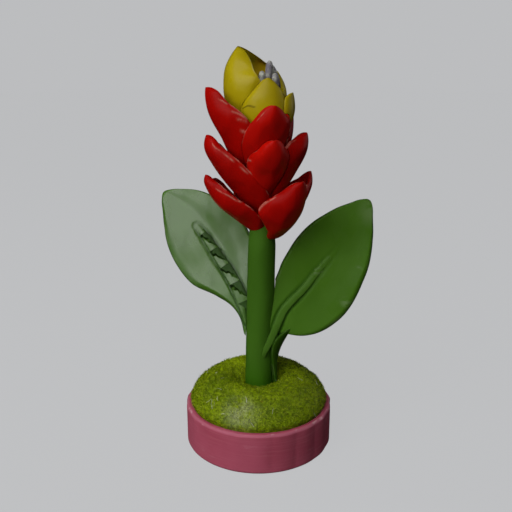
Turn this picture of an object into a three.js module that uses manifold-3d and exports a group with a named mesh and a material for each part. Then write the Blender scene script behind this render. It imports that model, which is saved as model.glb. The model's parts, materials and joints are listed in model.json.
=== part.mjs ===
// Lobster claw flower ornament: a made flower standing in moss in a shallow round dish.
// Millimetres, +Z up. The origin is the centre of the dish's flat underside.
// Azimuths are in degrees about +Z, from +X (the right-hand side) towards +Y (the back).
import * as THREE from 'three';
import { mergeVertices } from 'three/addons/utils/BufferGeometryUtils.js';
import Module from 'manifold-3d';

const wasm = await Module();
wasm.setup();

// Gap that a piece keeps to the pieces it is fitted against
const GAP = 0.3;

// Corners closer together than this are one corner
const SAME_CORNER = 1e-4;

// Dish: a low straight wall with a broad bevelled rim and a flat floor
const DISH = {
  radius: 45.5,
  height: 26,
  footRound: 2,
  bevel: 2.2,
  rimInner: 41.6,
  innerRound: 4,
  floor: 3,
  sides: 56,
  arcSteps: 3,
};

// Moss cushion: fills the dish, swells over its rim and dips towards the stem.
// dome: radius and height of its top, from the rim inwards.
const MOSS = {
  dome: [[42, 29], [39, 34.5], [32.5, 40], [25, 43.1], [18.5, 43.1], [13, 40], [8.5, 36.5]],
  rings: 11,
  sides: 44,
};

// Slow waves on the moss: their height, how fast it grows above the rim, and the waves' spacing
const WAVES = { height: 0.5, clear: 2, growth: 0.1, x: 0.21, y: 0.17, slant: 0.33, slantShare: 0.6 };

// Stem with the slimmer axis that carries the flower head; it leans a little to the right.
// profile: radius and height, from the foot in the moss to the top inside the bud.
const STEM = {
  profile: [[8.7, 6], [8.5, 66.5], [8.2, 127], [6.2, 152], [4.5, 177], [3.6, 200], [2.3, 203]],
  footX: -0.35,
  lean: 0.018,
  sides: 28,
};

// The flower head's own axis
const HEAD_X = 0.8;

// Shape of every red bract, from its root (first value) to its tip (last value)
const BRACT = {
  halfWidth: [11, 18, 21.5, 21, 16.5, 9],
  wrap: [75, 82, 86, 88, 90, 92],
  thickness: 2.6,
  edge: 0.6,
  rootRound: 0.08,
  tipRound: 0.08,
  around: 16,
  along: 12,
};

// Bracts from the outermost inwards. keel: radius and height along the outer ridge;
// the ridge swings round the axis from azimuth root to azimuth tip.
const BRACTS = [
  {
    name: 'bract_1_front',
    root: 320,
    tip: 314,
    lopsided: 0.1,
    skew: 0.06,
    keel: [[3, 130.5], [15, 134.5], [26, 146], [32, 158], [34.5, 170]],
    halfWidth: [1, 9.5, 21, 21, 15, 7.5],
  },
  {
    name: 'bract_1_left',
    root: 204,
    tip: 190,
    scale: 0.84,
    skew: 0.36,
    keel: [[3, 134], [13.7, 142.4], [25.8, 153.1], [32.5, 165.2], [32.4, 170.7]],
  },
  {
    name: 'bract_1_right',
    root: 22,
    tip: 28,
    keel: [[3, 132], [16, 139], [26.5, 149], [33.6, 160], [35.2, 168.8]],
    halfWidth: [11, 18, 20.5, 18, 12.5, 5],
    wrap: [75, 80, 80, 76, 74, 74],
  },
  {
    name: 'bract_1_back',
    root: 100,
    tip: 100,
    keel: [[3, 132], [16, 140], [26, 151], [32, 161], [33, 170]],
  },
  {
    name: 'bract_2_left',
    root: 228,
    tip: 190,
    scale: 0.97,
    skew: 0.44,
    keel: [[3, 143], [12, 154.7], [25, 171.3], [32.1, 184.8], [31.5, 193.4]],
  },
  {
    name: 'bract_2_front',
    root: 300,
    tip: 284,
    keel: [[3, 150], [10, 158.5], [19.5, 170], [28, 182], [30.4, 193]],
    halfWidth: [3, 9, 17, 19, 14.8, 8],
  },
  {
    name: 'bract_2_right',
    root: 346,
    tip: 350,
    lopsided: -0.1,
    skew: 0.6,
    keel: [[3, 150], [14, 160], [21.5, 172.5], [26.8, 183.5], [27.6, 194.3]],
    halfWidth: [8, 15, 21, 22, 18, 10],
  },
  {
    name: 'bract_2_back',
    root: 100,
    tip: 100,
    keel: [[3, 148], [15, 157], [25, 170], [30, 183], [30.5, 193.5]],
  },
  {
    name: 'bract_3_front',
    root: 258,
    tip: 285,
    lopsided: -0.32,
    skew: -0.4,
    keel: [[3, 168], [14, 174.5], [22.5, 187], [28.5, 200], [29, 211.4]],
    halfWidth: [5, 14, 19.7, 22, 18.7, 9],
    around: 20,
    along: 16,
  },
  {
    name: 'bract_3_left',
    root: 223,
    tip: 193,
    scale: 1.06,
    keel: [[3, 169], [14.8, 176.5], [23.2, 191.9], [29.8, 205.2], [31.8, 219.2]],
    halfWidth: [11, 18, 21.5, 21, 15.5, 8.5],
  },
  {
    name: 'bract_3_back',
    root: 56,
    tip: 56,
    keel: [[3, 168], [14, 175], [22, 188], [26, 201], [27, 213]],
  },
];

// Shape shared by the yellow petals of the bud
const PETAL = {
  thickness: 2.2,
  edge: 0.6,
  rootRound: 0.1,
  tipRound: 0.14,
  around: 16,
  along: 12,
};
const PETALS = [
  {
    name: 'petal_front',
    root: 290,
    tip: 290,
    keel: [[3, 187], [13, 193], [17.8, 204], [17.2, 215], [12.5, 224]],
    halfWidth: [10, 16, 18.8, 19.6, 17, 10.5],
    wrap: [70, 73, 74, 76, 80, 84],
  },
  {
    name: 'petal_small',
    root: 333,
    tip: 338,
    keel: [[10, 196], [17.5, 199], [20.2, 206.5], [19.2, 215.8]],
    halfWidth: [5, 8, 9, 8, 6],
    wrap: [50, 55, 55, 50, 46],
  },
  {
    name: 'petal_hood',
    root: 160,
    tip: 151,
    lopsided: -0.12,
    skew: 0.36,
    level: 0.58,
    tipRound: 0.1,
    keel: [[3, 189], [14.5, 197], [19.8, 207.3], [21, 221.7], [19.7, 230.1], [14.4, 239.9]],
    halfWidth: [12, 17.9, 22.5, 34.4, 30.5, 14.5],
    wrap: [80, 93, 103, 130, 120, 120],
    around: 20,
    along: 16,
  },
  {
    name: 'petal_back',
    root: 38,
    tip: 38,
    keel: [[3, 189], [12, 196], [15.4, 207], [16.2, 217], [12.2, 226.5]],
    halfWidth: [10, 17, 19, 17, 12, 7],
    wrap: [75, 84, 86, 86, 86, 86],
  },
];

// Shape shared by the round rods: their ends, and the side their section is measured from
const ROD = { wrap: 2, edge: 1, rootRound: 0.04, tipRound: 0.1, facing: [0, -1, 0.3] };

// Pale stamens in the bud's mouth: points along each rod, in the head's frame
const STAMEN = { radius: [2, 2, 2, 1.8], around: 8, along: 8 };
const STAMENS = [
  { name: 'stamen_1', path: [[0.2, -2, 204], [0.4, -2.5, 216], [1, -2.5, 227]] },
  { name: 'stamen_2', path: [[3.4, -1, 204], [4, -2, 220], [5.2, -2, 232.4]] },
  { name: 'stamen_3', path: [[7, -3, 204], [8, -4.4, 218], [7.8, -4.8, 226]] },
  { name: 'stamen_4', path: [[8, 2.5, 204], [9.4, 2.5, 217], [7.6, 2.4, 225], [4.6, 2.4, 230.2]] },
];

// Both leaves: a lens-shaped blade, and a low flat-topped midrib let into its upper face
const LEAF = {
  wrap: [10, 14, 16, 16, 14, 12, 8],
  edge: 1,
  rootRound: 0.05,
  tipRound: 0.05,
  around: 16,
  along: 16,
};
const RIB = {
  wrap: [2, 2],
  thickness: 3,
  edge: 0.5,
  rootRound: 0.12,
  tipRound: 0.15,
  around: 12,
  along: 16,
};
const LEAF_LEFT = {
  name: 'leaf_left',
  facing: [0, -0.866, 0.5],
  halfWidth: [4, 3.2, 11.8, 23.2, 25.7, 23.6, 16.3, 4.2],
  thickness: [5, 4.4, 3.6, 3.2, 3, 2.8, 2.6, 2.4],
  centre: [
    [-5, 1.5, 67],
    [-10.3, 6, 82],
    [-14.6, 13, 91.8],
    [-21.7, 21, 104.1],
    [-30.5, 29.5, 118.5],
    [-45.4, 38.2, 136.2],
    [-61.1, 44.5, 149.2],
  ],
  rib: [
    [-6, 4, 76],
    [-9.5, 8.4, 87],
    [-14.2, 14.1, 96.3],
    [-19.1, 19.3, 103.8],
    [-26.2, 25.1, 112.8],
    [-33.1, 30.4, 122.2],
    [-39, 34.2, 128.9],
  ],
  ribHalf: [3, 3.6, 3.8, 3.6, 3.3, 2.8, 1.7],
};
const LEAF_RIGHT = {
  name: 'leaf_right',
  facing: [0, -0.956, 0.292],
  halfWidth: [2.5, 18.4, 24.6, 25.2, 22.5, 14.7, 4.1],
  thickness: [3.4, 3.4, 3.2, 3, 2.8, 2.6, 2.4],
  centre: [
    [6.8, -5.5, 74.5],
    [19, -2.8, 84],
    [32.3, 1.7, 97.5],
    [42.5, 7, 114.7],
    [54.6, 12.6, 132.8],
    [67.2, 17.8, 150.1],
  ],
  rib: [
    [2.2, -5.2, 53],
    [3.9, -6.4, 61],
    [7.6, -6.6, 69.5],
    [11, -6.2, 78],
    [14.7, -3.9, 86.1],
    [19.9, -1.9, 92.1],
    [26, 0.3, 97.8],
    [35.8, 4.4, 109.1],
    [49.5, 9.8, 123.9],
  ],
  ribHalf: [1.2, 2, 2.4, 2.5, 2.4, 2.3, 2.1, 1.7, 0.9],
};

// Sheath of the right leaf: hugs the stem's right side from the moss up to the blade
const SHEATH = {
  root: -8,
  tip: -22,
  keel: [[12, 28], [11.9, 44], [12.1, 54], [14.5, 63], [21.2, 76.5]],
  halfWidth: [2, 2.4, 5.5, 11, 11.5],
  wrap: [20, 22, 34, 52, 46],
  lopsided: -0.2,
  thickness: 3,
  edge: 0.6,
  rootRound: 0.05,
  tipRound: 0.2,
  around: 12,
  along: 10,
};

// Most of its bend's radius that a blade's wall may take, and the size at which an end closes
const WALL_SHARE = 0.85;
const CLOSED_END = 1e-6;

// How late along a blade its skew dies away: higher keeps it nearer to the tip
const SKEW_FADE = 4;

// A three.js geometry with its shared corners merged
function merged(geometry) {
  const bare = geometry.clone();
  bare.deleteAttribute('normal');
  bare.deleteAttribute('uv');
  return mergeVertices(bare, SAME_CORNER);
}

// The same form with every corner moved out by the gap
function grown(geometry) {
  const closed = merged(geometry);
  closed.computeVertexNormals();
  const { position, normal } = closed.attributes;
  const corner = new THREE.Vector3();
  const outwards = new THREE.Vector3();
  for (let i = 0; i < position.count; i += 1) {
    corner.fromBufferAttribute(position, i);
    corner.addScaledVector(outwards.fromBufferAttribute(normal, i), GAP);
    position.setXYZ(i, corner.x, corner.y, corner.z);
  }
  return closed;
}

function solidOf(geometry) {
  const closed = merged(geometry);
  return new wasm.Manifold(new wasm.Mesh({
    numProp: 3,
    vertProperties: new Float32Array(closed.attributes.position.array),
    triVerts: new Uint32Array(closed.index.array),
  }));
}

// Turn a solid back into a three.js geometry, keeping only its largest body
function geometryOf(solid) {
  const bodies = solid.decompose();
  const largest = bodies.reduce((best, body) => (body.volume() > best.volume() ? body : best));
  const mesh = largest.getMesh();
  const geometry = new THREE.BufferGeometry();
  geometry.setAttribute('position', new THREE.BufferAttribute(new Float32Array(mesh.vertProperties), 3));
  geometry.setIndex(new THREE.BufferAttribute(new Uint32Array(mesh.triVerts), 1));
  geometry.computeVertexNormals();
  return geometry;
}

// A smooth curve through evenly spaced values
function smooth(values) {
  const curve = new THREE.SplineCurve(values.map((value, i) => new THREE.Vector2(i, value)));
  return (t) => curve.getPoint(t).y;
}

function curveThrough(points) {
  return new THREE.CatmullRomCurve3(points.map((point) => new THREE.Vector3(...point)));
}

// Rises from 0 to 1 as a quarter circle does, over the given length
function roundEnd(distance, length) {
  const s = Math.min(distance / length, 1);
  return Math.sqrt(Math.max(0, 1 - (1 - s) ** 2));
}

// A closed blade: a sphere's corners moved onto a trough that follows a spine.
// The sphere's poles are the blade's two ends. The spine is the outer ridge of the trough,
// facing points to its hollow side, and wrap is how far each half bends round, in degrees.
// lopsided gives one half more of the bend, skew lifts one margin and drops the other but
// dies away at the tip, and level turns the sections from square to the ridge (0) to
// horizontal (1).
function blade(shape) {
  const geometry = new THREE.SphereGeometry(1, shape.around, shape.along);
  const { position, uv } = geometry.attributes;
  for (let i = 0; i < position.count; i += 1) {
    const along = (1 - Math.cos(Math.PI * (1 - uv.getY(i)))) / 2;
    const turn = 2 * Math.PI * (uv.getX(i) % 1);
    const point = bladePoint(shape, along, turn);
    position.setXYZ(i, point.x, point.y, point.z);
  }
  return geometry;
}

function bladePoint(shape, along, turn) {
  const { origin, tangent, facing, side } = spineFrame(shape, along);
  const ends = roundEnd(along, shape.rootRound) * roundEnd(1 - along, shape.tipRound);
  if (ends < CLOSED_END) return origin;
  const wrap = THREE.MathUtils.degToRad(shape.wrap(along));
  const bend = shape.halfWidth(along) * ends / wrap;
  const full = Math.min(shape.thickness(along) * ends, WALL_SHARE * bend);
  const through = Math.sign(Math.cos(turn)) * Math.abs(Math.cos(turn)) ** shape.edge;
  const depth = (1 - through) / 2 * full;
  const angle = wrap * Math.sin(turn) * (1 + (shape.lopsided ?? 0) * Math.sin(turn));
  const skew = (shape.skew ?? 0) * (1 - along ** SKEW_FADE);
  return origin
    .addScaledVector(side, (bend - depth) * Math.sin(angle))
    .addScaledVector(facing, bend - (bend - depth) * Math.cos(angle))
    .addScaledVector(tangent, skew * bend * Math.sin(angle));
}

// Origin, facing and sideways directions of a blade's spine
function spineFrame(shape, along) {
  const origin = shape.spine.getPointAt(along);
  const tangent = shape.spine.getTangentAt(along);
  const facing = shape.facing(along);
  facing.addScaledVector(tangent, -facing.dot(tangent)).normalize();
  const side = new THREE.Vector3().crossVectors(tangent, facing);
  facing.setZ(facing.z * (1 - (shape.level ?? 0))).normalize();
  return { origin, tangent, facing, side };
}

// A blade's sizes as functions of the place along it
function sized(sizes) {
  const thickness = Array.isArray(sizes.thickness) ? smooth(sizes.thickness) : () => sizes.thickness;
  const halfWidth = smooth(sizes.halfWidth.map((half) => half * (sizes.scale ?? 1)));
  return { ...sizes, halfWidth, wrap: smooth(sizes.wrap), thickness };
}

// A spine that rises outwards along a keel, with its hollow side to the axis
function keelSpine({ root, tip, keel }) {
  const azimuth = (along) => THREE.MathUtils.degToRad(root + (tip - root) * Math.sqrt(along));
  const points = keel.map(([radius, height], i) => {
    const angle = azimuth(i / (keel.length - 1));
    return [radius * Math.cos(angle), radius * Math.sin(angle), height];
  });
  const spine = curveThrough(points);
  const level = (angle) => new THREE.Vector3(-Math.sin(angle), Math.cos(angle), 0);
  return { spine, facing: (along) => spine.getTangentAt(along).cross(level(azimuth(along))) };
}

// A round rod along a path, tapering through the given radii
function rod(path, radii, sides) {
  const radius = smooth(radii);
  return blade({
    ...ROD,
    ...sides,
    spine: curveThrough(path),
    facing: () => new THREE.Vector3(...ROD.facing),
    wrap: () => ROD.wrap,
    halfWidth: radius,
    thickness: (along) => 2 * radius(along),
  });
}

// Points of a quarter circle in a lathe profile, from angle start to angle end in degrees
function arc(centreRadius, centreHeight, radius, start, end) {
  return Array.from({ length: DISH.arcSteps + 1 }, (_, i) => {
    const angle = THREE.MathUtils.degToRad(start + (end - start) * i / DISH.arcSteps);
    const across = centreRadius + radius * Math.cos(angle);
    return new THREE.Vector2(across, centreHeight + radius * Math.sin(angle));
  });
}

// A body turned about +Z from a profile of radii and heights that starts and ends on the axis
function turned(profile, sides) {
  return new THREE.LatheGeometry(profile, sides).rotateX(Math.PI / 2);
}

function dish() {
  const { radius, height, footRound, bevel, rimInner, innerRound, floor, sides } = DISH;
  const inner = rimInner - innerRound;
  const profile = [
    new THREE.Vector2(0, 0),
    ...arc(radius - footRound, footRound, footRound, -90, 0),
    ...arc(radius - bevel, height - bevel, bevel, 0, 90),
    new THREE.Vector2(rimInner, height),
    ...arc(inner, floor + innerRound, innerRound, 0, -90),
    new THREE.Vector2(0, floor),
  ];
  return turned(profile, sides);
}

function points(pairs) {
  return pairs.map(([radius, height]) => new THREE.Vector2(radius, height));
}

function moss() {
  const wall = DISH.rimInner - GAP;
  const base = DISH.floor + GAP;
  const corner = DISH.innerRound;
  const dome = new THREE.SplineCurve(points([[wall, DISH.height + GAP], ...MOSS.dome]));
  const top = dome.getPoints(MOSS.rings);
  const profile = [
    new THREE.Vector2(0, base),
    ...arc(wall - corner, base + corner, corner, -90, 0),
    ...top,
    new THREE.Vector2(0, top.at(-1).y),
  ];
  return roughened(turned(profile, MOSS.sides));
}

// Uneven top: slow waves round and across the cushion, none at the dish wall
function roughened(geometry) {
  const { position } = geometry.attributes;
  const wave = (x, y) => Math.sin(WAVES.x * x + 1) * Math.cos(WAVES.y * y)
    + WAVES.slantShare * Math.sin(WAVES.slant * (x - y));
  for (let i = 0; i < position.count; i += 1) {
    const rise = Math.max(0, position.getZ(i) - DISH.height - WAVES.clear);
    const share = Math.min(rise * WAVES.growth, 1);
    const shift = WAVES.height * share * wave(position.getX(i), position.getY(i));
    position.setZ(i, position.getZ(i) + shift);
  }
  return geometry;
}

function stem() {
  const [, bottom] = STEM.profile[0];
  const [, top] = STEM.profile.at(-1);
  const geometry = turned(points([[0, bottom], ...STEM.profile, [0, top]]), STEM.sides);
  const { position } = geometry.attributes;
  for (let i = 0; i < position.count; i += 1) {
    const centre = STEM.footX + STEM.lean * (position.getZ(i) - bottom);
    position.setX(i, position.getX(i) + centre);
  }
  return geometry;
}

// A blade along a path, with its hollow side to one fixed direction
function flatBlade(sizes, path, facing) {
  const spine = curveThrough(path);
  return blade({ ...sized(sizes), spine, facing: () => new THREE.Vector3(...facing) });
}

function leaf(shape) {
  const { halfWidth, thickness, centre, facing } = shape;
  const body = flatBlade({ ...LEAF, halfWidth, thickness }, centre, facing);
  const rib = flatBlade({ ...RIB, halfWidth: shape.ribHalf }, shape.rib, facing);
  return solidOf(body).add(solidOf(rib));
}

function sheath() {
  return blade({ ...sized(SHEATH), ...keelSpine(SHEATH) });
}

const materials = {
  clay: new THREE.MeshStandardMaterial({ color: 0x8c4550, roughness: 0.75, metalness: 0 }),
  moss: new THREE.MeshStandardMaterial({ color: 0x556510, roughness: 1, metalness: 0 }),
  green: new THREE.MeshStandardMaterial({ color: 0x34581a, roughness: 0.5, metalness: 0 }),
  red: new THREE.MeshStandardMaterial({ color: 0x8c0806, roughness: 0.45, metalness: 0 }),
  yellow: new THREE.MeshStandardMaterial({ color: 0xa08c12, roughness: 0.45, metalness: 0 }),
  pale: new THREE.MeshStandardMaterial({ color: 0x9a9a96, roughness: 0.6, metalness: 0 }),
};

function named(name, geometry, material) {
  const mesh = new THREE.Mesh(geometry, material);
  mesh.name = name;
  return mesh;
}

// The flower head: each piece is cut clear of the axis and of the pieces set before it
function flowerHead() {
  const head = new THREE.Group();
  head.position.x = HEAD_X;
  let taken = solidOf(grown(stem().translate(-HEAD_X, 0, 0)));
  const place = (name, whole, material) => {
    head.add(named(name, geometryOf(solidOf(whole).subtract(taken)), material));
    taken = taken.add(solidOf(grown(whole)));
  };
  BRACTS.forEach((bract) => {
    const shape = { ...sized({ ...BRACT, ...bract }), ...keelSpine(bract) };
    place(bract.name, blade(shape), materials.red);
  });
  PETALS.forEach((petal) => {
    const shape = { ...sized({ ...PETAL, ...petal }), ...keelSpine(petal) };
    place(petal.name, blade(shape), materials.yellow);
  });
  STAMENS.forEach((stamen) => {
    place(stamen.name, rod(stamen.path, STAMEN.radius, STAMEN), materials.pale);
  });
  return head;
}

const stemSpace = solidOf(grown(stem()));
const sheathSpace = solidOf(grown(sheath()));
const mossAround = solidOf(moss()).subtract(stemSpace).subtract(sheathSpace);
const leftLeaf = leaf(LEAF_LEFT).subtract(stemSpace);
const rightLeaf = leaf(LEAF_RIGHT).add(solidOf(sheath())).subtract(stemSpace);

const part = new THREE.Group();
part.add(named('dish', dish(), materials.clay));
part.add(named('moss', geometryOf(mossAround), materials.moss));
part.add(named('stem', stem(), materials.green));
part.add(named(LEAF_LEFT.name, geometryOf(leftLeaf), materials.green));
part.add(named(LEAF_RIGHT.name, geometryOf(rightLeaf), materials.green));
part.add(flowerHead());
export default part;
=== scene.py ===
"""Lobster claw flower ornament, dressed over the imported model.

Sizes are in millimetres, with +Z up and the origin at the centre of the dish's underside.
Azimuths are in degrees about +Z, from +X (the right-hand side) towards +Y (the back).
Sizes become metres only where a mesh, a material or the stage is made.
"""

import json
import math

import bmesh
import bpy
import numpy as np
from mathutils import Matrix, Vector
from mathutils.kdtree import KDTree

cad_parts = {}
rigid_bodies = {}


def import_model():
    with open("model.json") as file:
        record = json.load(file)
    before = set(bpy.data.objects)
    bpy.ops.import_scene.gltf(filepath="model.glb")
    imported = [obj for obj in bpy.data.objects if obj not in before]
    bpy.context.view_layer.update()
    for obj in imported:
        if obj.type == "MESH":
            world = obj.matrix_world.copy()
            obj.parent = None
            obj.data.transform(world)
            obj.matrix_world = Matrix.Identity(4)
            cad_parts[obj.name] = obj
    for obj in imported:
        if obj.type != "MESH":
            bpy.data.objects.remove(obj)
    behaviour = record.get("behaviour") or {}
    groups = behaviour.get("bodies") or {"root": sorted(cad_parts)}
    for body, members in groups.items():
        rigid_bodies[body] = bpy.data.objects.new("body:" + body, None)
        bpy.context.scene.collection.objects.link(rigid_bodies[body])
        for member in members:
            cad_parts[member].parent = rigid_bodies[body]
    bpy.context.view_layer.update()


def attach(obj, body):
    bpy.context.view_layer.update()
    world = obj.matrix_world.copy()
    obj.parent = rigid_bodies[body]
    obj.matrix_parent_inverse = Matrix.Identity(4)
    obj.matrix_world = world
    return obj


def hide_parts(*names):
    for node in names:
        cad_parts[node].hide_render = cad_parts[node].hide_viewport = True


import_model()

MM = 0.001
GAP = 0.3

# Dish: its section, and the slight unevenness of its wall and rim.
# ramped() takes a start and a length, waver() a depth, a pitch and a seed
DISH = dict(radius=45.5, height=26, foot_round=2, bevel=2.2, rim_inner=41.6, inner_round=4, floor=3)
FOOT_INSET = 8
RIM_STRAIGHT = 4
RIM_EDGE = [(0.9, 0), (0.3, 0.1), (0, 0.5), (0, RIM_STRAIGHT)]
OUTER_WALL = 43.6, 1.5
FOOT_FADE = 0, 2
FLATS = dict(count=9.5, turn=0.7, middle=0.7, left=0.22, more_right=0.45, inwards=0.12)
RIGHT_HALF = 0, 30
DENTS = 0.3, 9, 3
DENTED = 20, 4
RIM_DIPS = 0.25, 13, 5
RIM_TOP = 24.5, 1.2
RIM_LOWERED = 0.2
PALE_BEVEL = dict(height=25.2, width=0.9)
PALE_FROM = 43.4, 1

# Moss: radii and heights of its dome, its waves, and its lumps with their seeds
MOSS_DOME = [(42, 29), (39, 34.5), (32.5, 40), (25, 43.1), (18.5, 43.1), (13, 40), (8.5, 36.5)]
MOSS_WALL = DISH["rim_inner"] - GAP
MOSS_EYE = 4
WAVES = dict(height=0.5, clear=2, growth=0.1, x=0.21, y=0.17, slant=0.33, slant_share=0.6)
LUMPS = [(0.5, 5, 11), (0.35, 2.2, 12)]
LUMPY_OVER = 2

# Strands on the moss. inner: radius that stays bare; clear: bare place round the sheath;
# above: height of their roots
FIBRES = dict(count=30000, seed=21, inner=10, clear=3, above=0, shaded=True,
              length=(1, 2.6), width=(0.16, 0.3), rise=(0.05, 0.75))
STRAYS = dict(count=48, seed=8, inner=16, clear=0, above=0.9, shaded=False,
              length=(2.5, 5), width=(0.16, 0.3), rise=(0.02, 0.3))
STRAND = dict(sunk=0.15, twist=0.5, lift=0.4, sway=0.25, end_sway=0.4)
STRAND_CORNERS = 5
SHEATH_FOOT = 12, -1

STEM = dict(
    profile=[(8.7, 6), (8.5, 66.5), (8.2, 127), (6.2, 152), (4.5, 177), (3.6, 200), (2.3, 203)],
    foot_x=-0.35, lean=0.018)
HEAD_SHIFT = 0.8, 0, 0

# Shape of every red bract, from its root (first value) to its tip (last value).
# rounds: shares of its length that its root and its tip take to round off
BRACT = dict(
    half_width=[11, 18, 21.5, 21, 16.5, 9],
    wrap=[75, 82, 86, 88, 90, 92],
    thickness=2.6, edge=0.6, rounds=(0.08, 0.08))

# Bracts from the outermost inwards. keel: radius and height along the outer ridge
BRACTS = {
    "bract_1_front": dict(
        root=320, tip=314, lopsided=0.1, skew=0.06, half_width=[1, 9.5, 21, 21, 15, 7.5],
        keel=[(3, 130.5), (15, 134.5), (26, 146), (32, 158), (34.5, 170)]),
    "bract_1_left": dict(
        root=204, tip=190, scale=0.84, skew=0.36,
        keel=[(3, 134), (13.7, 142.4), (25.8, 153.1), (32.5, 165.2), (32.4, 170.7)]),
    "bract_1_right": dict(
        root=22, tip=28, half_width=[11, 18, 20.5, 18, 12.5, 5], wrap=[75, 80, 80, 76, 74, 74],
        keel=[(3, 132), (16, 139), (26.5, 149), (33.6, 160), (35.2, 168.8)]),
    "bract_1_back": dict(root=100, tip=100, keel=[(3, 132), (16, 140), (26, 151), (32, 161), (33, 170)]),
    "bract_2_left": dict(
        root=228, tip=190, scale=0.97, skew=0.44,
        keel=[(3, 143), (12, 154.7), (25, 171.3), (32.1, 184.8), (31.5, 193.4)]),
    "bract_2_front": dict(
        root=300, tip=284, half_width=[3, 9, 17, 19, 14.8, 8],
        keel=[(3, 150), (10, 158.5), (19.5, 170), (28, 182), (30.4, 193)]),
    "bract_2_right": dict(
        root=346, tip=350, lopsided=-0.1, skew=0.6, half_width=[8, 15, 21, 22, 18, 10],
        keel=[(3, 150), (14, 160), (21.5, 172.5), (26.8, 183.5), (27.6, 194.3)]),
    "bract_2_back": dict(
        root=100, tip=100, keel=[(3, 148), (15, 157), (25, 170), (30, 183), (30.5, 193.5)]),
    "bract_3_front": dict(
        root=258, tip=285, lopsided=-0.32, skew=-0.4, half_width=[5, 14, 19.7, 22, 18.7, 9],
        keel=[(3, 168), (14, 174.5), (22.5, 187), (28.5, 200), (29, 211.4)]),
    "bract_3_left": dict(
        root=223, tip=193, scale=1.06, half_width=[11, 18, 21.5, 21, 15.5, 8.5],
        keel=[(3, 169), (14.8, 176.5), (23.2, 191.9), (29.8, 205.2), (31.8, 219.2)]),
    "bract_3_back": dict(root=56, tip=56, keel=[(3, 168), (14, 175), (22, 188), (26, 201), (27, 213)]),
}

# Yellow petals of the bud
PETAL = dict(thickness=2.2, edge=0.6, rounds=(0.1, 0.14))
PETALS = {
    "petal_front": dict(
        root=290, tip=290, keel=[(3, 187), (13, 193), (17.8, 204), (17.2, 215), (12.5, 224)],
        half_width=[10, 16, 18.8, 19.6, 17, 10.5], wrap=[70, 73, 74, 76, 80, 84]),
    "petal_small": dict(
        root=333, tip=338, keel=[(10, 196), (17.5, 199), (20.2, 206.5), (19.2, 215.8)],
        half_width=[5, 8, 9, 8, 6], wrap=[50, 55, 55, 50, 46]),
    "petal_hood": dict(
        root=160, tip=151, lopsided=-0.12, skew=0.36, level=0.58, rounds=(0.1, 0.1),
        keel=[(3, 189), (14.5, 197), (19.8, 207.3), (21, 221.7), (19.7, 230.1), (14.4, 239.9)],
        half_width=[12, 17.9, 22.5, 34.4, 30.5, 14.5], wrap=[80, 93, 103, 130, 120, 120]),
    "petal_back": dict(
        root=38, tip=38, keel=[(3, 189), (12, 196), (15.4, 207), (16.2, 217), (12.2, 226.5)],
        half_width=[10, 17, 19, 17, 12, 7], wrap=[75, 84, 86, 86, 86, 86]),
}

# Stamens: round rods, and the side that their section is measured from
STAMEN = dict(half_width=[2, 2, 2, 1.8], thickness=[4, 4, 4, 3.6], wrap=[2, 2], edge=1,
              rounds=(0.04, 0.1))
STAMEN_FACING = (0, -1, 0.3)
STAMENS = {
    "stamen_1": [(0.2, -2, 204), (0.4, -2.5, 216), (1, -2.5, 227)],
    "stamen_2": [(3.4, -1, 204), (4, -2, 220), (5.2, -2, 232.4)],
    "stamen_3": [(7, -3, 204), (8, -4.4, 218), (7.8, -4.8, 226)],
    "stamen_4": [(8, 2.5, 204), (9.4, 2.5, 217), (7.6, 2.4, 225), (4.6, 2.4, 230.2)],
}

# Leaves: a lens-shaped blade, and a low flat-topped midrib let into its upper face.
# torn and groove: shares of the flaps and of the grooves along the midrib, which fade near its tip
LEAF = dict(wrap=[10, 14, 16, 16, 14, 12, 8], edge=1, rounds=(0.05, 0.05))
RIB = dict(wrap=[2, 2], thickness=3, edge=0.5, rounds=(0.12, 0.15))
LEAVES = {
    "leaf_left": dict(
        facing=(0, -0.866, 0.5),
        rim_side=-1, rim_wide=0.22, torn=1, groove=1, fade=6, shine=0.95,
        half_width=[4, 3.2, 11.8, 23.2, 25.7, 23.6, 16.3, 4.2],
        thickness=[5, 4.4, 3.6, 3.2, 3, 2.8, 2.6, 2.4],
        centre=[(-5, 1.5, 67), (-10.3, 6, 82), (-14.6, 13, 91.8), (-21.7, 21, 104.1),
                (-30.5, 29.5, 118.5), (-45.4, 38.2, 136.2), (-61.1, 44.5, 149.2)],
        rib=[(-6, 4, 76), (-9.5, 8.4, 87), (-14.2, 14.1, 96.3), (-19.1, 19.3, 103.8),
             (-26.2, 25.1, 112.8), (-33.1, 30.4, 122.2), (-39, 34.2, 128.9)],
        rib_half=[3, 3.6, 3.8, 3.6, 3.3, 2.8, 1.7]),
    "leaf_right": dict(
        facing=(0, -0.956, 0.292),
        rim_side=1, rim_wide=0.13, torn=0, groove=0.9, fade=42, shine=0.09,
        half_width=[2.5, 18.4, 24.6, 25.2, 22.5, 14.7, 4.1],
        thickness=[3.4, 3.4, 3.2, 3, 2.8, 2.6, 2.4],
        centre=[(6.8, -5.5, 74.5), (19, -2.8, 84), (32.3, 1.7, 97.5), (42.5, 7, 114.7),
                (54.6, 12.6, 132.8), (67.2, 17.8, 150.1)],
        rib=[(2.2, -5.2, 53), (3.9, -6.4, 61), (7.6, -6.6, 69.5), (11, -6.2, 78), (14.7, -3.9, 86.1),
             (19.9, -1.9, 92.1), (26, 0.3, 97.8), (35.8, 4.4, 109.1), (49.5, 9.8, 123.9)],
        rib_half=[1.2, 2, 2.4, 2.5, 2.4, 2.3, 2.1, 1.7, 0.9]),
}

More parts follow.
